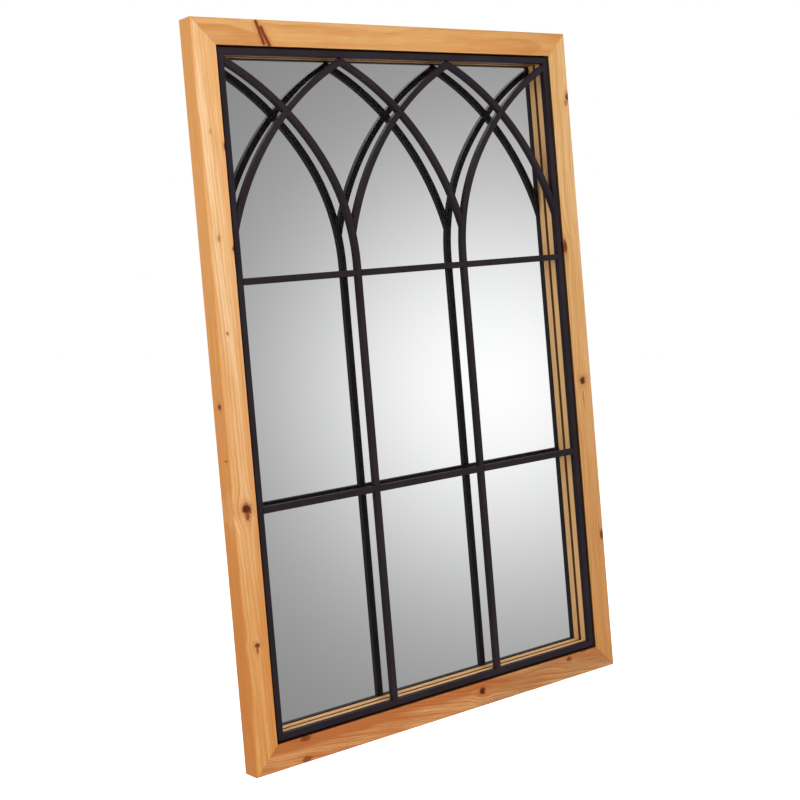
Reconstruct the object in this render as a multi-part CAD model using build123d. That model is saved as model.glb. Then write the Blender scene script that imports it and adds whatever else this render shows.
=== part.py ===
from build123d import *
from math import asin, degrees, sqrt
import os

# Rectangular wall mirror: a mitred wooden frame with a window grille of square
# steel bar set into its front, and the mirror glass held from behind.
# Millimetres. +X is to the right seen from the front, +Z is up, the front faces -Y.
# Origin: on the plane of the frame's back, midway between the two hangers.

# Whole frame
width = 600
height = 900
depth = 26
hanger_drop = 180

# Wooden member
face_width = 32
ledge_width = 9.5
rabbet_land = 6.5
outer_round = 1.5
inner_round = 0.6

# Grille of 8 mm square bar, with its powder coat
bar = 8.2
bar_ease = 0.7
grille_gap = 2.4
grille_setback = 2
columns = 3
rows = 3
arc_radius = 346
arc_lean = 16
bend_radius = 250
arc_turn = 75

# Glazing, from the ledge towards the back
tape_thickness = 2.4
tape_width = 4
tape_inset = 1
glass_thickness = 2
glass_clearance = 1
glass_seam = 0.4
board_thickness = 2
board_clearance = 1.5
board_corner = 4

# Screws that hold the grille, driven from behind through the ledge
grille_screw_shank = 1.5
grille_screw_head = 2.5
grille_screw_bite = 5
grille_screw_rise = 300
grille_screw_reach = 150

# Turn buttons over the backing board
button_line = 24
button_drop = 30
button_hub = 6
button_tip = 4.5
button_reach = 18
button_thickness = 1.2
button_float = 0.1
button_clearance = 0.05
button_edge_round = 0.3
button_screw_shank = 1.7
button_screw_head = 3.4
button_screw_cap = 2
button_screw_crown = 1.2
button_screw_bite = 13

# Hanger: a strap curled round the straight side of a D ring
hanger_line = 17.5
strap_width = 12
strap_thickness = 1.2
strap_length = 40
strap_corner = 3
ring_wire = 1.2
ring_clearance = 0.1
ring_width = 20
ring_drop = 17
ring_bend = 3
hanger_screw_shank = 1.7
hanger_screw_head = 3.5
hanger_screw_bite = 13
hanger_screw_first = 15
hanger_screw_pitch = 18

# Corner nails, bumpers and small clearances
nail_leg = 4.5
nail_thickness = 0.6
nail_length = 8
nail_sink = 0.4
nail_first = 10
nail_pitch = 12
bumper_radius = 5.5
bumper_height = 4.5
bumper_round = 1
bumper_inset = 48
bumper_rise = 16
hole_clearance = 0.05
recess_length = 3.2
recess_width = 0.8
recess_depth = 1

# Places that follow from the sizes
top = hanger_drop
bottom = top - height
mid_z = (bottom + top) / 2
front_y = -depth
ledge_x = face_width + ledge_width
rabbet_x = ledge_x - rabbet_land
bar_y = front_y + grille_setback + bar / 2
ledge_front_y = bar_y + bar / 2
board_y = -board_thickness
glass_y = board_y - glass_thickness
ledge_back_y = glass_y - tape_thickness
border_line = face_width + grille_gap + bar / 2
inner_x = width / 2 - border_line - bar / 2
column_pitch = (width - 2 * border_line) / columns
row_pitch = (height - 2 * border_line) / rows
column_lines = [border_line - width / 2 + column_pitch * i for i in range(columns + 1)]
row_lines = [bottom + border_line + row_pitch * i for i in range(rows + 1)]
opening_bottom = row_lines[0] + bar / 2
opening_top = row_lines[-1] - bar / 2

# The arcs lean off their column lines and rise until they touch the top border over the next one
arc_offset = arc_radius - arc_lean
arc_z = opening_top - sqrt((arc_radius + bar / 2) ** 2 - (arc_offset - column_pitch) ** 2)
bend_rise = sqrt((arc_radius - bend_radius) ** 2 - (arc_offset - bend_radius) ** 2)
bend_z = arc_z + bend_rise
bend_angle = degrees(asin(bend_rise / (arc_radius - bend_radius)))

os.makedirs("parts", exist_ok=True)
nodes = {}

# The four sides: each maps a member drawn along Z, outer edge on X = 0, to its place
sides = {
    "left": Pos(-width / 2, 0, mid_z),
    "right": Pos(width / 2, 0, mid_z) * Rot(0, 180, 0),
    "top": Pos(0, 0, top) * Rot(0, 90, 0),
    "bottom": Pos(0, 0, bottom) * Rot(0, -90, 0),
}
lengths = {"left": height, "right": height, "top": width, "bottom": width}


def mitred(section, length):
    # A run along Z with both ends cut at 45 degrees back from the outer edge
    run = Pos(0, 0, -length / 2) * extrude(section, length)
    for end in (1, -1):
        mitre = Plane(origin=(0, 0, end * length / 2), z_dir=(1, 0, end))
        run = split(run, bisect_by=mitre, keep=Keep.BOTTOM)
    return run


def countersunk_screw(shank, head, length, slack=0.0):
    # Head flush with Y = 0, pointing to -Y; slack turns it into its own hole
    cone = head - shank
    reach = length + slack
    outline = Polyline(
        (0, 0),
        (head + slack, 0),
        (shank + slack, -cone),
        (shank + slack, -reach),
        (0, -reach),
        close=True,
    )
    return revolve(make_face(outline), Axis.Y)


def cross_recess(top_y):
    # The cut for a driver, in the head's outer face
    cut = Box(recess_length, recess_depth * 2, recess_width)
    cut += Box(recess_width, recess_depth * 2, recess_length)
    return Pos(0, top_y, 0) * cut


def wooden_section():
    # Front rabbet for the grille, ledge, and rear rabbet for glass and board
    outline = Polyline(
        (0, front_y),
        (face_width, front_y),
        (face_width, ledge_front_y),
        (ledge_x, ledge_front_y),
        (ledge_x, ledge_back_y),
        (rabbet_x, ledge_back_y),
        (rabbet_x, 0),
        (0, 0),
        close=True,
    )
    face = make_face(outline)
    outer = face.vertices().sort_by_distance((0, front_y))[0]
    face = fillet(outer, outer_round)
    inner = face.vertices().sort_by_distance((face_width, front_y))[0]
    return fillet(inner, inner_round)


def corner_nails(slack=0.0):
    # V nails across each mitre, sunk below the back; slack turns them into their slots
    arm = Pos(0, nail_leg / 2) * Rectangle(nail_thickness + 2 * slack, nail_leg + 2 * slack)
    vee = Rot(0, 0, 45) * arm + Rot(0, 0, -45) * arm
    deep_end = nail_sink + nail_length + slack
    start = 0 if slack else nail_sink
    nail = Pos(0, -start, 0) * extrude(Plane.XZ * vee, deep_end - start)
    group = []
    for side_x in (-1, 1):
        for end_z, corner_z in ((-1, bottom), (1, top)):
            for place in range(2):
                inset = nail_first + nail_pitch * place
                spot = Pos(side_x * (width / 2 - inset), 0, corner_z - end_z * inset)
                group.append(spot * Rot(0, 45 * side_x * end_z, 0) * nail)
    return group


def grille_screw_places():
    # On the border bars' centre lines, heads on the ledge's back
    places = []
    for rise in (-grille_screw_rise, 0, grille_screw_rise):
        places += [("left", rise), ("right", rise)]
    for reach in (-grille_screw_reach, grille_screw_reach):
        places += [("top", reach), ("bottom", reach)]
    return [sides[side] * Pos(border_line, ledge_back_y, along) for side, along in places]


# Turn buttons: name, side, and distance along that side from its middle
button_rise = -strap_length - button_drop - mid_z
buttons = {
    "turn_button_top": ("top", 0),
    "turn_button_bottom": ("bottom", 0),
    "turn_button_left_upper": ("left", button_rise),
    "turn_button_left_lower": ("left", -button_rise),
    "turn_button_right_upper": ("right", -button_rise),
    "turn_button_right_lower": ("right", button_rise),
}
button_places = {name: sides[side] * Pos(button_line, 0, along) for name, (side, along) in buttons.items()}
button_top = button_float + button_thickness + button_float


def button_screw(slack=0.0):
    # Domed head over the button, shank through it into the wood
    cap = Pos(0, button_top + button_screw_cap / 2, 0) * Rot(90, 0, 0) * Cylinder(
        button_screw_head, button_screw_cap
    )
    crown = cap.faces().sort_by(Axis.Y)[-1].edges()
    cap = fillet(crown, button_screw_crown)
    span = button_top + button_screw_bite + slack
    shank = Pos(0, button_top - span / 2, 0) * Rot(90, 0, 0) * Cylinder(button_screw_shank + slack, span)
    if slack:
        return shank
    return cap + shank - cross_recess(button_top + button_screw_cap)


def turn_button():
    # A tapering tongue drawn along +X from its pivot, lying over the board
    hub = Circle(button_hub)
    tip = Pos(button_reach, 0) * Circle(button_tip)
    tongue = make_hull((hub + tip).edges())
    tongue -= Circle(button_screw_shank + button_clearance)
    plate = extrude(Plane.XZ * tongue, -button_thickness)
    plate = Pos(0, button_float, 0) * plate
    rim = plate.faces().sort_by(Axis.Y)[-1].outer_wire().edges()
    return fillet(rim, button_edge_round)


# Hangers: each strap is drawn at X = 0 and moved to its stile
barrel_radius = ring_wire + ring_clearance + strap_thickness
barrel_y = barrel_radius
hanger_places = {
    "left": Pos(hanger_line - width / 2, 0, 0),
    "right": Pos(width / 2 - hanger_line, 0, 0),
}


def hanger_screw_spots():
    # On the strap's outer face, one above the other
    return [
        Pos(0, strap_thickness, -hanger_screw_first - hanger_screw_pitch * place)
        for place in range(2)
    ]


def hanger_plate():
    # The leaf below, and the barrel curled over the ring's straight side
    leaf = Pos(0, strap_thickness / 2, -strap_length / 2) * Box(
        strap_width, strap_thickness, strap_length
    )
    foot = leaf.edges().filter_by(Axis.Y).group_by(Axis.Z)[0]
    leaf = fillet(foot, strap_corner)
    roll = Rot(0, 90, 0) * Cylinder(barrel_radius, strap_width)
    bore = Rot(0, 90, 0) * Cylinder(ring_wire + ring_clearance, 2 * strap_width)
    plate = leaf + Pos(0, barrel_y, 0) * roll - Pos(0, barrel_y, 0) * bore
    for spot in hanger_screw_spots():
        plate -= spot * hanger_hole()
    return plate


def hanger_screw():
    length = hanger_screw_bite + strap_thickness
    return countersunk_screw(hanger_screw_shank, hanger_screw_head, length) - cross_recess(0)


def hanger_hole():
    length = hanger_screw_bite + strap_thickness
    return countersunk_screw(hanger_screw_shank, hanger_screw_head, length, hole_clearance)


def hanger_ring():
    # A D of round wire: straight side in the barrel, bow hanging below
    half = ring_width / 2
    shoulder = ring_drop - half
    path = Polyline((0, 0), (half, 0), (half, -shoulder))
    path = fillet(path.vertices().sort_by_distance((half, 0))[0], ring_bend)
    bow = RadiusArc((half, -shoulder), (0, -ring_drop), half)
    half_path = Plane.XZ * (path + bow)
    section = Plane(origin=(0, 0, 0), z_dir=(1, 0, 0)) * Circle(ring_wire)
    half_ring = sweep(section, half_path)
    return Pos(0, barrel_y, 0) * (half_ring + mirror(half_ring, Plane.YZ))


def bumper():
    # A soft button on the back, so that the frame stands off the wall evenly
    pad = Rot(-90, 0, 0) * Cylinder(bumper_radius, bumper_height, align=(Align.CENTER, Align.CENTER, Align.MIN))
    rim = pad.faces().sort_by(Axis.Y)[-1].edges()
    return fillet(rim, bumper_round)


def turned(section, centre_x, centre_z, radius, start, turn, side):
    # Part of a ring of bar about a Y axis, angles measured up from the horizontal
    axis = Axis((centre_x, 0, centre_z), (0, side, 0))
    profile = Pos(centre_x - side * radius, bar_y, centre_z) * section
    return revolve(profile.rotate(axis, start), axis, turn)


def arc_bar(line_x, side, section):
    # A curved bar that springs from one column line and leans to the next
    return turned(section, line_x + side * arc_offset, arc_z, arc_radius, 0, arc_turn, side)


def mullion_bar(line_x, side, section):
    # Straight up from the bottom border, then bent over into an arc to one side
    upright = Pos(line_x, bar_y, opening_bottom) * extrude(section, bend_z - opening_bottom)
    bend = turned(section, line_x + side * bend_radius, bend_z, bend_radius, 0, bend_angle, side)
    centre_x = line_x + side * arc_offset
    sweep_left = arc_turn - bend_angle
    arc = turned(section, centre_x, arc_z, arc_radius, bend_angle, sweep_left, side)
    return upright + bend + arc


def between(part, left_x, right_x):
    # The stretch of a grille bar between two upright planes
    room = Box(right_x - left_x, 4 * bar, 2 * height)
    return part & Pos((left_x + right_x) / 2, bar_y, mid_z) * room


def stacked(part, names):
    # Names the separate stretches of a cut bar, lowest first
    stretches = part.solids().sort_by(Axis.Z)
    for name, stretch in zip(names, stretches, strict=True):
        nodes[name] = stretch


# Wooden frame, with everything that is driven into it
holes = corner_nails(hole_clearance)
grille_screw_length = ledge_back_y - ledge_front_y + grille_screw_bite
grille_hole = countersunk_screw(
    grille_screw_shank, grille_screw_head, grille_screw_length, hole_clearance
)
grille_holes = [place * grille_hole for place in grille_screw_places()]
holes += grille_holes
holes += [place * button_screw(hole_clearance) for place in button_places.values()]
holes += [place * spot * hanger_hole() for place in hanger_places.values() for spot in hanger_screw_spots()]
member_names = {
    "left": "frame_left_stile",
    "right": "frame_right_stile",
    "top": "frame_top_rail",
    "bottom": "frame_bottom_rail",
}
for side, place in sides.items():
    nodes[member_names[side]] = place * mitred(wooden_section(), lengths[side]) - holes
nodes["corner_v_nails"] = Compound(corner_nails())

# Grille border, mitred at its corners; every bar's long edges are eased
eased = chamfer(Rectangle(bar, bar).vertices(), bar_ease)
blunt = Rectangle(bar, 2 * bar)
for side, place in sides.items():
    border = place * mitred(Pos(border_line, bar_y) * eased, lengths[side])
    nodes[f"grille_border_{side}"] = border - grille_holes
grille_screw = countersunk_screw(grille_screw_shank, grille_screw_head, grille_screw_length)
grille_screw -= cross_recess(0)
nodes["grille_screws"] = Compound([place * grille_screw for place in grille_screw_places()])

# Mullions: the left one bends over to the left, the right one to the right
left_line, right_line = column_lines[1], column_lines[2]
nodes["mullion_left"] = between(mullion_bar(left_line, -1, eased), -inner_x, 0)
nodes["mullion_right"] = between(mullion_bar(right_line, 1, eased), 0, inner_x)
left_cut = mullion_bar(left_line, -1, blunt)
right_cut = mullion_bar(right_line, 1, blunt)

# Arcs that butt against the bars they meet
half_bar = bar / 2
left_rising = between(arc_bar(column_lines[0], 1, eased), -inner_x, left_line) - left_cut
stacked(left_rising, ["arc_left_lower", "arc_left_upper"])
middle_falling = between(arc_bar(right_line, -1, eased), left_line, right_line + half_bar) - right_cut
nodes["arc_middle_long"] = middle_falling
middle_rising = between(arc_bar(left_line, 1, eased), left_line - half_bar, right_line)
middle_rising = middle_rising - left_cut - arc_bar(right_line, -1, blunt)
stacked(middle_rising, ["arc_middle_lower", "arc_middle_upper"])
right_falling = between(arc_bar(column_lines[3], -1, eased), right_line, inner_x) - right_cut
stacked(right_falling, ["arc_right_lower", "arc_right_upper"])

# Crossbars between the uprights
crossbar_length = column_pitch - bar
crossbar = extrude(Plane.YZ * eased, crossbar_length / 2, both=True)
for row, row_name in ((1, "lower"), (2, "upper")):
    for column, column_name in enumerate(("left", "middle", "right")):
        centre_x = (column_lines[column] + column_lines[column + 1]) / 2
        nodes[f"crossbar_{row_name}_{column_name}"] = Pos(centre_x, bar_y, row_lines[row]) * crossbar

# Glazing tape, glass and board
tape_x = ledge_x - tape_inset - tape_width / 2
tape_section = Pos(tape_x, ledge_back_y + tape_thickness / 2) * Rectangle(tape_width, tape_thickness)
for side, place in sides.items():
    nodes[f"glazing_tape_{side}"] = place * mitred(tape_section, lengths[side])
glass_edge = rabbet_x + glass_clearance
glass = Box(width - 2 * glass_edge, glass_thickness, height - 2 * glass_edge)
glass = chamfer(glass.edges().filter_by(Axis.Y, reverse=True), glass_seam)
nodes["mirror_glass"] = Pos(0, glass_y + glass_thickness / 2, mid_z) * glass
board_edge = rabbet_x + board_clearance
board = Box(width - 2 * board_edge, board_thickness, height - 2 * board_edge)
board = chamfer(board.edges().filter_by(Axis.Y), board_corner)
nodes["backing_board"] = Pos(0, board_y + board_thickness / 2, mid_z) * board

# Back hardware
for name, place in button_places.items():
    nodes[name] = place * turn_button()
nodes["turn_button_screws"] = Compound([place * button_screw() for place in button_places.values()])
for side, place in hanger_places.items():
    nodes[f"hanger_plate_{side}"] = place * hanger_plate()
    nodes[f"hanger_ring_{side}"] = place * hanger_ring()
nodes["hanger_screws"] = Compound(
    [place * spot * hanger_screw() for place in hanger_places.values() for spot in hanger_screw_spots()]
)
bumper_x = width / 2 - bumper_inset
nodes["wall_bumpers"] = Compound(
    [Pos(side * bumper_x, 0, bottom + bumper_rise) * bumper() for side in (-1, 1)]
)

for name, shape in nodes.items():
    export_step(shape, f"parts/{name}.step")
print(f"{len(nodes)} nodes, arc centres at z {arc_z:.2f}, bend starts at z {bend_z:.2f}")
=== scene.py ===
import bpy
from math import cos, radians, sin
from mathutils import Matrix, Vector


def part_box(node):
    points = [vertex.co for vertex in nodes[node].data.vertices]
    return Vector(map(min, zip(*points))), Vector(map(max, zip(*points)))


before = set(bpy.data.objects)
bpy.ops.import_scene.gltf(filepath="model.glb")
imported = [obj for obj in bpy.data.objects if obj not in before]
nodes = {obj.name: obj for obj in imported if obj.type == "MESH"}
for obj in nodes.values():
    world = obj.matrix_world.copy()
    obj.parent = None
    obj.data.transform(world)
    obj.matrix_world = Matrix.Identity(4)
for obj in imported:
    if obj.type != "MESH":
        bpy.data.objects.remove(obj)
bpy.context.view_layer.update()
print("frame loaded:", len(nodes), "nodes")

mm = 0.001
lowX, frontY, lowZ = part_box("frame_bottom_rail")[0]
highX, _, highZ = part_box("frame_top_rail")[1]
midZ = (lowZ + highZ) / 2


class Wire:
    # One shader socket; sums on it add Math nodes
    def __init__(self, bench, socket):
        self.bench = bench
        self.socket = socket

    def sum(self, kind, other=0.0):
        return self.bench.node("ShaderNodeMath", {"operation": kind}, {0: self, 1: other})

    def turnedSum(self, kind, other):
        return self.bench.node("ShaderNodeMath", {"operation": kind}, {0: other, 1: self})

    def __add__(self, other):
        return self.sum("ADD", other)

    def __radd__(self, other):
        return self.turnedSum("ADD", other)

    def __sub__(self, other):
        return self.sum("SUBTRACT", other)

    def __rsub__(self, other):
        return self.turnedSum("SUBTRACT", other)

    def __mul__(self, other):
        return self.sum("MULTIPLY", other)

    def __rmul__(self, other):
        return self.turnedSum("MULTIPLY", other)

    def __truediv__(self, other):
        return self.sum("DIVIDE", other)

    def __abs__(self):
        return self.sum("ABSOLUTE")

    def most(self, other):
        return self.sum("MAXIMUM", other)

    def least(self, other):
        return self.sum("MINIMUM", other)


class Bench:
    # A node tree, and the few ways this script adds nodes to it
    def __init__(self, tree):
        self.tree = tree
        tree.nodes.clear()

    def node(self, kind, settings=None, inputs=None, out=0):
        made = self.tree.nodes.new(kind)
        for name, value in (settings or {}).items():
            setattr(made, name, value)
        for name, value in (inputs or {}).items():
            if isinstance(value, Wire):
                self.tree.links.new(value.socket, made.inputs[name])
            else:
                made.inputs[name].default_value = value
        return Wire(self, made.outputs[out]) if made.outputs else made

    def split(self, vector):
        return [self.node("ShaderNodeSeparateXYZ", None, {0: vector}, out) for out in range(3)]

    def place(self):
        # Object coordinates, in metres
        return self.split(self.node("ShaderNodeTexCoord", out="Object"))

    def noise(self, x, y, z, detail=2.0, roughness=0.5):
        spot = self.node("ShaderNodeCombineXYZ", None, {0: x, 1: y, 2: z})
        inputs = {"Vector": spot, "Scale": 1.0, "Detail": detail, "Roughness": roughness}
        return self.node("ShaderNodeTexNoise", None, inputs)

    def ease(self, value, low, high):
        # Smooth step: 0 at low, 1 at high
        inputs = {"Value": value, "From Min": low, "From Max": high}
        return self.node("ShaderNodeMapRange", {"interpolation_type": "SMOOTHSTEP"}, inputs)

    def mix(self, factor, first, second, kind="MIX"):
        settings = {"data_type": "RGBA", "blend_type": kind}
        return self.node("ShaderNodeMix", settings, {0: factor, 6: first, 7: second}, 2)

    def bump(self, height, distance):
        return self.node("ShaderNodeBump", None, {"Height": height, "Distance": distance})

    def bell(self, value, centre, width):
        # 1 at the centre, falling off softly on both sides
        off = (value - centre) / width
        return (off * off * -1.0).sum("EXPONENT")


def paint(red, green, blue):
    # A colour as a screen shows it, 0 to 255, as the shader wants it
    parts = []
    for part in (red, green, blue):
        part = part / 255
        parts.append(part / 12.92 if part <= 0.04045 else ((part + 0.055) / 1.055) ** 2.4)
    return (*parts, 1.0)


def startMaterial(name):
    made = bpy.data.materials.new(name)
    made.use_nodes = True
    return made, Bench(made.node_tree)


def finishMaterial(made, bench, inputs):
    shader = bench.node("ShaderNodeBsdfPrincipled", None, inputs)
    bench.node("ShaderNodeOutputMaterial", None, {"Surface": shader})
    return made


def dress(name, material):
    mesh = nodes[name].data
    mesh.materials.clear()
    mesh.materials.append(material)


# Wood that all four members share. Along runs with the grain, across from the
# outer edge inwards, and deep from the front to the back.
wood = {
    "ringPitch": 2.6 * mm,
    "ringDark": 0.62,
    "fibreScale": 1300.0,  # per metre across the grain
    "fibreDark": 0.42,
    "fleckScale": 620.0,
    "fleckDark": 0.40,
    "streakScale": 150.0,
    "fibreBump": 0.05 * mm,
    "roughness": 0.52,
    "gloss": 0.2,
    # Outer side faces: partly their own tone, partly painted shade
    "sideShadeTint": (0.98, 0.86, 0.66, 1),
    "arris": 1.6 * mm,
    "bandFadeBy": 0.65,
    "knotCore": paint(84, 24, 2),
    "knotRim": paint(170, 84, 30),
    "joint": paint(160, 102, 54),
    "jointWidth": 0.45 * mm,
    "jointDark": 0.6,
    # Painted shade for the grille's channel
    "channelShade": paint(44, 26, 14),
    "channelShadeDark": 0.88,
    "faceWidth": 32 * mm,
    "gapEnd": 34.6 * mm,
    "gapDepth": 13 * mm,
    "ledgeFace": 40.6 * mm,
    # Ledges' inner faces: raw wood, partly painted light
    "ledgeRawAndLitColour": paint(250, 200, 138),
}

# Each board's look: its own tone, with painted shade mixed into the right stile's colours and into
# each board's darkening toward one end. Bands: where across, how wide, how strong.
# Knots: along, across, depth or None, half width, half length, darkness.
boards = {
    "frame_left_stile": {
        "lengthwise": "z",
        "outer": (1, -lowX),
        "light": paint(244, 208, 163),
        "deep": paint(228, 172, 114),
        "late": paint(206, 146, 80),
        "endTintAndShade": (0.81, 0.61, 0.36, 1),
        "endTintAndShadeRun": (80 * mm, -720 * mm),
        "pith": (-32 * mm, -84 * mm),
        "wander": 2.2 * mm,
        "slope": 0.03,
        "ledgeRawAndLitShare": 0.6,
        "seed": 3.1,
        "bands": [(0.0, 2.4, 0.8), (28.0, 4.6, 0.9), (15.0, 2.0, 0.2)],
        "knots": [
            (46, 14.0, None, 1.6, 3.0, 0.25),
            (28, 31.5, None, 1.6, 4.5, 0.75),
            (-93, 31.5, None, 1.4, 3.0, 0.8),
            (-80, 13.0, None, 2.0, 3.6, 0.40),
            (-192, 13.0, None, 1.5, 2.0, 0.55),
            (-401, 18.0, None, 6.0, 5.6, 1.0),
            (-408, 18.4, None, 3.0, 7.0, 0.75),
            (-564, 16.0, None, 3.8, 2.8, 0.85),
            (-569, 15.6, None, 1.6, 5.0, 0.7),
            (-278, 0.0, -15.0, 3.0, 3.0, 1.0),
            (-342, 0.0, -18.0, 3.2, 0.8, 0.8),
        ],
    },
    "frame_right_stile": {
        "lengthwise": "z",
        "outer": (-1, highX),
        # Darker than the left stile: partly its own tone, partly painted shade where the light
        # falls off to the right
        "light": paint(228, 185, 132),
        "deep": paint(212, 162, 100),
        "late": paint(192, 138, 74),
        "endTintAndShade": (0.80, 0.62, 0.45, 1),
        "endTintAndShadeRun": (80 * mm, -720 * mm),
        "pith": (70 * mm, -120 * mm),
        "wander": 5.0 * mm,
        "slope": 0.0,
        "ledgeRawAndLitShare": 0.75,
        "seed": 8.4,
        "bands": [(19.0, 4.0, 0.35), (30.0, 1.6, 0.25)],
        "knots": [
            (91, 2.5, None, 3.2, 5.5, 1.0),
            (83, 6.5, None, 3.0, 4.0, 0.45),
            (-119, 29.5, None, 3.2, 10.0, 0.85),
            (-309.5, 17.0, None, 4.6, 5.0, 1.0),
            (-334, 17.5, None, 0.7, 12.0, 0.45),
            (-532, 3.5, None, 3.4, 6.5, 0.8),
        ],
    },
    "frame_top_rail": {
        "lengthwise": "x",
        "outer": (-1, highZ),
        "light": paint(219, 168, 108),
        "deep": paint(210, 148, 86),
        "late": paint(188, 122, 60),
        "endTintAndShade": (0.96, 0.93, 0.88, 1),
        "endTintAndShadeRun": (0, 290 * mm),
        "pith": (24 * mm, -130 * mm),
        "wander": 1.6 * mm,
        "slope": 0.01,
        "ledgeRawAndLitShare": 0.0,
        "seed": 5.7,
        "bands": [(27.0, 4.0, 0.5), (12.0, 3.0, 0.3)],
        "knots": [],
    },
    "frame_bottom_rail": {
        "lengthwise": "x",
        "outer": (1, -lowZ),
        "light": paint(218, 162, 104),
        "deep": paint(186, 108, 54),
        "late": paint(160, 88, 38),
        "endTintAndShade": (0.84, 0.86, 0.88, 1),
        "endTintAndShadeRun": (10 * mm, 110 * mm),
        "pith": (54 * mm, -70 * mm),
        "wander": 3.0 * mm,
        "slope": 0.14,
        "ledgeRawAndLitShare": 0.8,
        "seed": 1.9,
        "bands": [(27.5, 7.0, 1.0)],
        "bandFade": (0, 110 * mm),
        "knots": [
            (54, 20.5, None, 4.4, 4.8, 1.0),
            (214, 27.0, None, 3.0, 4.6, 0.7),
            (243, 31.0, None, 1.2, 8.0, 0.5),
            (-228, 29.5, None, 3.0, 8.0, 0.65),
            (-228, 4.5, None, 3.2, 7.0, 0.65),
        ],
    },
}

# Streaks where a branch crosses the top rail: two ends and half the width, mm
streaks = {
    "lines": [((-211, 180), (-201, 150), 3.0), ((-205, 173), (-193, 148), 3.3)],
    "colour": paint(98, 34, 12),
    "stain": paint(198, 108, 50),
    "stainWidth": 10.0,
    "waver": 2.4 * mm,
    "dark": 0.86,
    "stained": 0.55,
}


def knotMarks(bench, along, across, deep, knots):
    # Grain pushed aside, dark cores and warm rims, for every knot of a board
    bent, core, rim = across, None, None
    ragged = bench.noise(along * 260.0, across * 380.0, deep * 380.0, 2.0) * 2.4 - 0.2
    for at, inset, depth, halfAcross, halfAlong, dark in knots:
        u = (across - inset * mm) / (halfAcross * mm)
        v = (along - at * mm) / (halfAlong * mm)
        reach = u * u + v * v
        if depth is not None:
            w = (deep - depth * mm) / (halfAcross * mm)
            reach = reach + w * w
        bent = bent - (across - inset * mm) * (reach * -0.10).sum("EXPONENT") * (0.7 * dark)
        reach = reach * ragged
        middle = bench.ease(reach, 1.5, 0.4) * (0.96 * dark)
        around = (reach * -0.42).sum("EXPONENT") * (0.8 * dark)
        core = middle if core is None else core.most(middle)
        rim = around if rim is None else rim.most(around)
    return bent, core, rim


def streakMarks(bench, x, z, fibre, front):
    dark, stain = None, None
    for (startX, startZ), (endX, endZ), width in streaks["lines"]:
        runX, runZ = (endX - startX) * mm, (endZ - startZ) * mm
        length = (runX * runX + runZ * runZ) ** 0.5
        offX = x - startX * mm
        offZ = z - startZ * mm
        waver = (fibre - 0.5) * streaks["waver"]
        off = abs(offX * (runZ / length) - offZ * (runX / length) + waver)
        gone = (offX * (runX / length) + offZ * (runZ / length)) / length
        held = bench.ease(gone, -0.05, 0.08) * bench.ease(gone, 1.1, 0.96)
        line = bench.ease(off, width * mm, 0.45 * width * mm) * held
        wash = bench.ease(off, streaks["stainWidth"] * mm, 0.0) * held
        dark = line if dark is None else dark.most(line)
        stain = wash if stain is None else stain.most(wash)
    return dark * front * streaks["dark"], stain * front * streaks["stained"]


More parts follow.
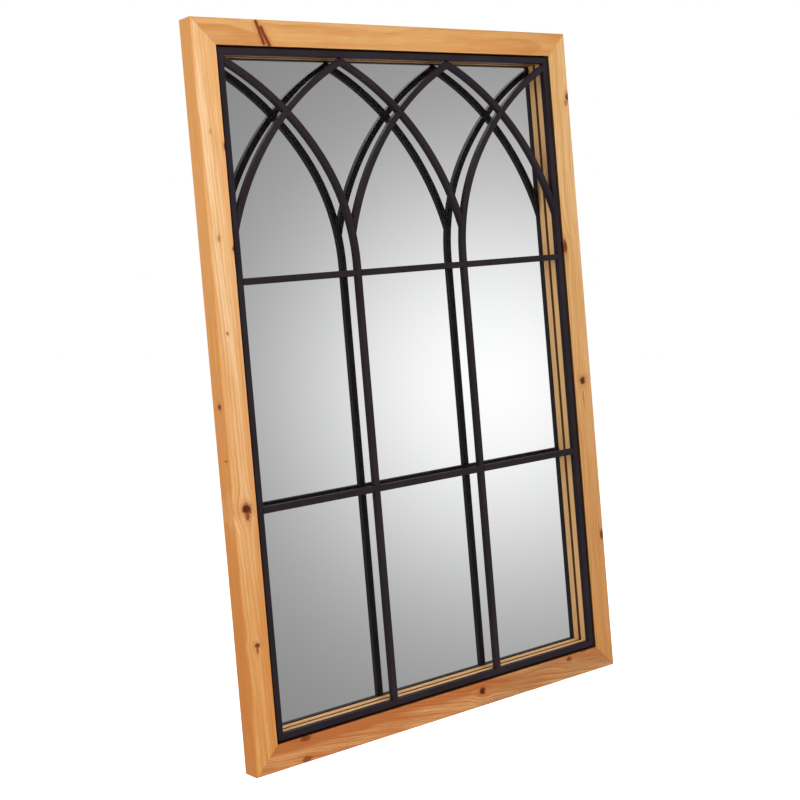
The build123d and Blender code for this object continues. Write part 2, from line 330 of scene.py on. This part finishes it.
def woodMaterial(name, board):
    made, bench = startMaterial("wood_" + name)
    x, deep, z = bench.place()
    along, side = (z, x) if board["lengthwise"] == "z" else (x, z)
    sign, offset = board["outer"]
    across = side * sign + offset
    seed = board["seed"]
    bent, core, rim = knotMarks(bench, along, across, deep, board["knots"])

    # Growth rings about the pith: each darkens slowly and ends sharply
    wander = bench.noise(along * 4.5 + seed, across * 10.0, deep * 10.0, 2.0)
    pithAcross, pithDeep = board["pith"]
    du = bent + along * board["slope"] - pithAcross
    dv = deep - pithDeep
    far = (du * du + dv * dv).sum("SQRT") + (wander - 0.5) * (4.0 * board["wander"])
    ring = far / wood["ringPitch"]
    spread = bench.noise(ring * 0.31, along * 1.5 + seed, seed, 2.0)
    step = (ring + spread * 1.6).sum("FRACT")
    late = bench.ease(step, 0.30, 0.88) * bench.ease(step, 1.0, 0.93)
    late = late * bench.ease(bench.noise(ring * 0.9, along * 7.0 - seed, seed, 2.0), 0.28, 0.62)
    wide = bench.noise(ring * 0.16, along * 3.0, seed + 4.0, 2.0)

    # Fibres, flecks and streaks, drawn out along the grain
    fine, short, coarse = wood["fibreScale"], wood["fleckScale"], wood["streakScale"]
    fibre = bench.noise(du * fine, deep * fine, along * 30.0 + seed, 3.0, 0.6)
    fleck = bench.noise(du * short, deep * short, along * 55.0 - seed, 2.0)
    streak = bench.noise(du * coarse, deep * coarse, along * 5.0 + seed, 2.0)
    patch = bench.noise(along * 22.0, across * 60.0, deep * 60.0 + seed, 2.0)

    tone = bench.ease(wide, 0.36, 0.66) * 0.4 + bench.ease(patch, 0.42, 0.72) * 0.2
    tone = tone + bench.ease(streak, 0.44, 0.62) * 0.4
    for centre, width, strength in board["bands"]:
        band = bench.bell(bent, centre * mm, width * mm) * strength
        if "bandFade" in board:
            band = band * (1 - bench.ease(along, *board["bandFade"]) * wood["bandFadeBy"])
        tone = tone + band
    colour = bench.mix(tone.least(1.0), board["light"], board["deep"])
    colour = bench.mix(late * wood["ringDark"], colour, board["late"])
    fibres = bench.ease(fibre, 0.48, 0.70) * wood["fibreDark"]
    colour = bench.mix(fibres, colour, board["late"])
    flecks = bench.ease(fleck, 0.54, 0.68) * wood["fleckDark"]
    colour = bench.mix(flecks, colour, board["deep"])
    # Each board darker toward one end: partly its own tone, partly painted shade where the light
    # falls off, toward the bottom on the stiles and toward the right on the rails
    endTintAndShadeRamp = bench.ease(along, *board["endTintAndShadeRun"])
    colour = bench.mix(endTintAndShadeRamp, colour, board["endTintAndShade"], "MULTIPLY")
    # Painted shade: the outer side faces, and the front's first 1.6 mm beside them, take a darker,
    # more saturated tint; partly the side's own tone, partly the sheen that only the front catches
    sideShadeMask = bench.ease(across, wood["arris"], 0.1 * mm)
    colour = bench.mix(sideShadeMask, colour, wood["sideShadeTint"], "MULTIPLY")
    if core is not None:
        frayed = (fibre - 0.5) * 0.5
        colour = bench.mix((rim + rim * frayed).least(1.0), colour, wood["knotRim"])
        colour = bench.mix((core + core * frayed).least(1.0), colour, wood["knotCore"])
    if name == "frame_top_rail":
        front = bench.ease(deep, frontY + 3 * mm, frontY + 1 * mm)
        dark, stain = streakMarks(bench, x, z, fibre, front)
        colour = bench.mix(stain, colour, streaks["stain"])
        colour = bench.mix(dark, colour, streaks["colour"])

    # The glue line where two members meet at 45 degrees
    cornerX = highX - abs(x)
    cornerZ = (highZ - lowZ) / 2 - abs(z - midZ)
    glue = bench.ease(abs(cornerX - cornerZ), wood["jointWidth"], 0.0)
    colour = bench.mix(glue * wood["jointDark"], colour, wood["joint"])

    # Ledge's inner face paler: partly raw wood out of reach of the end darkening and the stain,
    # partly painted light, strongest on the bottom ledge and none on the top ledge, which faces
    # down into shade
    ledge = bench.ease(across, wood["ledgeFace"], wood["ledgeFace"] + 0.5 * mm)
    colour = bench.mix(ledge * board["ledgeRawAndLitShare"], colour, wood["ledgeRawAndLitColour"])

    # Painted shade: the channel that the grille lies in is darkened to a shaded brown, as if the
    # wood's inner wall there lay in shadow
    face, gap, floor = wood["faceWidth"], wood["gapEnd"], frontY + wood["gapDepth"]
    channel = bench.ease(across, face - 0.3 * mm, face) * bench.ease(across, gap + 0.5 * mm, gap)
    channel = channel * bench.ease(deep, frontY + 0.5 * mm, frontY + 1.1 * mm)
    channel = channel * bench.ease(deep, floor, floor - 1 * mm)
    colour = bench.mix(channel * wood["channelShadeDark"], colour, wood["channelShade"])

    height = fibre * 0.5 + late * 0.5 - glue * 3.0
    rough = wood["roughness"] + (fibre - 0.5) * 0.16 + late * 0.08
    return finishMaterial(made, bench, {
        "Base Color": colour,
        "Roughness": rough,
        "Specular IOR Level": wood["gloss"],
        "Normal": bench.bump(height, wood["fibreBump"]),
    })


for name, board in boards.items():
    dress(name, woodMaterial(name, board))
print("wood done")

# Grille: powder-coated square bar
coat = {
    "base": paint(31, 22, 29),
    "worn": paint(46, 36, 44),
    "grainSize": 0.6 * mm,
    "grainDepth": 0.02 * mm,
    "roughness": 0.5,
    "gloss": 0.32,
}


def coatMaterial():
    made, bench = startMaterial("powderCoat")
    x, y, z = bench.place()
    size = coat["grainSize"]
    grain = bench.noise(x / size, y / size, z / size, 2.0, 0.6)
    cloud = bench.noise(x * 14.0, y * 14.0, z * 14.0, 3.0, 0.55)
    colour = bench.mix(bench.ease(cloud, 0.35, 0.70) * 0.5, coat["base"], coat["worn"])
    colour = bench.mix(bench.ease(grain, 0.55, 0.80) * 0.3, colour, coat["worn"])
    rough = coat["roughness"] + (cloud - 0.5) * 0.16 + (grain - 0.5) * 0.1
    return finishMaterial(made, bench, {
        "Base Color": colour,
        "Roughness": rough,
        "Specular IOR Level": coat["gloss"],
        "Normal": bench.bump(grain, coat["grainDepth"]),
    })


powderCoat = coatMaterial()
for name in nodes:
    if name.startswith(("grille_border", "mullion", "arc_", "crossbar")):
        dress(name, powderCoat)
print("grille done")


# Mirror: silvered glass with a faint haze
pane = {
    "clean": paint(248, 249, 249),
    "hazed": paint(250, 250, 250),
    "hazeRoughness": 0.015,
}


def mirrorMaterial():
    made, bench = startMaterial("silveredGlass")
    x, y, z = bench.place()
    haze = bench.noise(x * 9.0, y * 9.0, z * 6.0, 4.0, 0.6)
    rough = bench.ease(haze, 0.5, 0.8) * pane["hazeRoughness"]
    colour = bench.mix(bench.ease(haze, 0.3, 0.8), pane["clean"], pane["hazed"])
    return finishMaterial(made, bench, {"Base Color": colour, "Roughness": rough, "Metallic": 1.0})


dress("mirror_glass", mirrorMaterial())


# Backing: hardboard with the weave that its press leaves on the outer side
panel = {
    "light": paint(146, 106, 72),
    "dark": paint(136, 96, 64),
    "chips": paint(84, 54, 34),
    "weaveTurns": 3927.0,  # radians per metre, a thread every 1.6 mm
    "weaveDepth": 0.08 * mm,
    "roughness": 0.62,
}


def boardMaterial():
    made, bench = startMaterial("hardboard")
    x, y, z = bench.place()
    speckle = bench.noise(x * 900.0, y * 900.0, z * 900.0, 3.0, 0.7)
    cloud = bench.noise(x * 16.0, y * 16.0, z * 16.0, 3.0, 0.5)
    weave = (x * panel["weaveTurns"]).sum("SINE") * (z * panel["weaveTurns"]).sum("SINE")
    colour = bench.mix(bench.ease(cloud, 0.3, 0.7), panel["light"], panel["dark"])
    colour = bench.mix(bench.ease(speckle, 0.5, 0.75) * 0.4, colour, panel["chips"])
    rough = panel["roughness"] + (cloud - 0.5) * 0.2
    return finishMaterial(made, bench, {
        "Base Color": colour,
        "Roughness": rough,
        "Normal": bench.bump(weave * 0.5 + speckle, panel["weaveDepth"]),
    })


dress("backing_board", boardMaterial())


def metalMaterial(name, bright, dull, roughness):
    made, bench = startMaterial(name)
    x, y, z = bench.place()
    spangle = bench.noise(x * 700.0, y * 700.0, z * 700.0, 2.0, 0.6)
    stain = bench.noise(x * 120.0, y * 120.0, z * 120.0, 3.0, 0.6)
    colour = bench.mix(bench.ease(stain, 0.4, 0.75), bright, dull)
    rough = roughness + (spangle - 0.5) * 0.2 + bench.ease(stain, 0.45, 0.75) * 0.12
    return finishMaterial(made, bench, {
        "Base Color": colour,
        "Metallic": 1.0,
        "Roughness": rough,
        "Normal": bench.bump(spangle, 0.02 * mm),
    })


zinc = metalMaterial("zincPlate", paint(214, 214, 212), paint(172, 172, 170), 0.28)
screwSteel = metalMaterial("screwSteel", paint(222, 210, 176), paint(172, 158, 124), 0.30)
for name in nodes:
    if name.startswith(("hanger_plate", "hanger_ring", "turn_button")):
        dress(name, zinc)
for name in ("grille_screws", "turn_button_screws", "hanger_screws", "corner_v_nails"):
    dress(name, screwSteel)


def softMaterial(name, colour, lighter, cell):
    made, bench = startMaterial(name)
    x, y, z = bench.place()
    cells = bench.noise(x / cell, y / cell, z / cell, 2.0, 0.6)
    shade = bench.mix(bench.ease(cells, 0.4, 0.75), colour, lighter)
    rough = 0.82 + (cells - 0.5) * 0.2
    return finishMaterial(made, bench, {
        "Base Color": shade,
        "Roughness": rough,
        "Normal": bench.bump(cells, 0.06 * mm),
    })


foam = softMaterial("foamTape", paint(86, 48, 22), paint(112, 66, 34), 0.5 * mm)
for side in ("left", "right", "top", "bottom"):
    dress("glazing_tape_" + side, foam)
dress("wall_bumpers", softMaterial("bumperRubber", paint(34, 33, 33), paint(48, 46, 45), 0.8 * mm))
print("glass, board and hardware done")

# Studio: a pale floor under the hanging mirror, and soft light from the front
studio = {
    "floorDrop": 0.35,
    "floorSize": 14.0,
    "floorGlow": 0.62,
    "roomLevel": 0.46,
    "roomGrey": 0.243,
}

# Softboxes: place, size and power in watts
lamps = {
    "keySoftbox": ((0.10, -3.00, 1.60), 1.5, 56.0),
    "sideSoftbox": ((-2.0, -0.7, 0.3), 1.2, 16.0),
    "backSoftbox": ((0.5, 2.8, 1.2), 1.5, 46.0),
}

# What shines back from the room: azimuth from the front, elevation, spread, strength
glows = [
    (40.7, -4.3, 8.4, 0.795),
    (-48.0, 8.0, 14.0, 0.16),
    (10.0, 42.0, 13.0, 5.0),
    (180.0, 0.0, 46.0, 0.8),
    (110.0, 25.0, 20.0, 0.6),
    (-110.0, 25.0, 20.0, 0.6),
]


def addFloor():
    bpy.ops.object.select_all(action="DESELECT")
    under = (0, 0, lowZ - studio["floorDrop"])
    bpy.ops.mesh.primitive_plane_add(size=studio["floorSize"], location=under)
    floor = bpy.context.object
    floor.name = "studioFloor"
    bpy.ops.object.transform_apply(location=True)
    made, bench = startMaterial("floorPaint")
    x, y, z = bench.place()
    cloud = bench.noise(x * 3.0, y * 3.0, z, 3.0)
    colour = bench.mix(cloud, paint(244, 244, 244), paint(250, 250, 250))
    seen = bench.node("ShaderNodeLightPath", out="Is Camera Ray")
    glow = bench.mix(seen, (0, 0, 0, 1), (studio["floorGlow"],) * 3 + (1,))
    finishMaterial(made, bench, {
        "Base Color": colour,
        "Roughness": 0.9,
        "Specular IOR Level": 0.0,
        "Emission Color": glow,
        "Emission Strength": 1.0,
    })
    floor.data.materials.append(made)
    floor.visible_glossy = False  # the mirror shows the room, not a horizon


def addWorld():
    # White to the camera, an even room to matt surfaces, soft glows in the mirror
    world = bpy.data.worlds.new("studioRoom")
    bpy.context.scene.world = world
    world.use_nodes = True
    bench = Bench(world.node_tree)
    x, y, z = bench.split(bench.node("ShaderNodeTexCoord", out="Generated"))
    level = None
    for azimuth, elevation, spread, strength in glows:
        turn, rise, wide = radians(azimuth), radians(elevation), radians(spread)
        facing = x * (sin(turn) * cos(rise)) + y * (-cos(turn) * cos(rise)) + z * sin(rise)
        glow = ((facing - 1.0) * (2 / wide**2)).sum("EXPONENT") * strength
        level = glow + studio["roomGrey"] if level is None else level + glow
    mirrored = bench.node("ShaderNodeLightPath", out="Is Glossy Ray")
    seen = bench.node("ShaderNodeLightPath", out="Is Camera Ray")
    level = level * mirrored + (1 - mirrored) * studio["roomLevel"]
    level = level * (1 - seen) + seen
    back = bench.node("ShaderNodeBackground", None, {"Color": (1, 1, 1, 1), "Strength": level})
    bench.node("ShaderNodeOutputWorld", None, {"Surface": back})


def addLamp(name, place, size, power):
    bpy.ops.object.light_add(type="AREA", location=place)
    lamp = bpy.context.object
    lamp.name = name
    lamp.data.shape = "SQUARE"
    lamp.data.size = size
    lamp.data.energy = power
    lamp.visible_glossy = False  # no square of light in the glass
    away = Vector(place) - Vector((0, 0, midZ + 0.1))
    lamp.rotation_euler = away.to_track_quat("Z", "Y").to_euler()


# The camera that a fit to the photograph's straight edges gave, for an 800 pixel
# frame, with its shift kept small so that other views stay in the frame too
shot = {
    "place": (-1.1653, -1.5179, -0.1450),
    "turn": (-0.6494, -0.0348, 0.0843),
    "focalPixels": 1461.6,
    "centrePixels": (400.0, 330.0),
    "framePixels": 800,
    "sensor": 36.0,
}


def addCamera():
    bpy.ops.object.camera_add(location=shot["place"])
    camera = bpy.context.object
    camera.name = "photoCamera"
    heading, pitch, roll = shot["turn"]
    turn = Matrix.Rotation(heading, 4, "Z") @ Matrix.Rotation(pitch, 4, "X")
    turn = turn @ Matrix.Rotation(roll, 4, "Y") @ Matrix.Rotation(radians(90), 4, "X")
    camera.rotation_euler = turn.to_euler()
    size = shot["framePixels"]
    camera.data.sensor_width = shot["sensor"]
    camera.data.lens = shot["focalPixels"] / size * shot["sensor"]
    camera.data.shift_x = (size / 2 - shot["centrePixels"][0]) / size
    camera.data.shift_y = (shot["centrePixels"][1] - size / 2) / size
    bpy.context.scene.camera = camera


addFloor()
addWorld()
for name, (place, size, power) in lamps.items():
    addLamp(name, place, size, power)
addCamera()
bpy.context.scene.view_settings.view_transform = "Standard"
print("studio done")
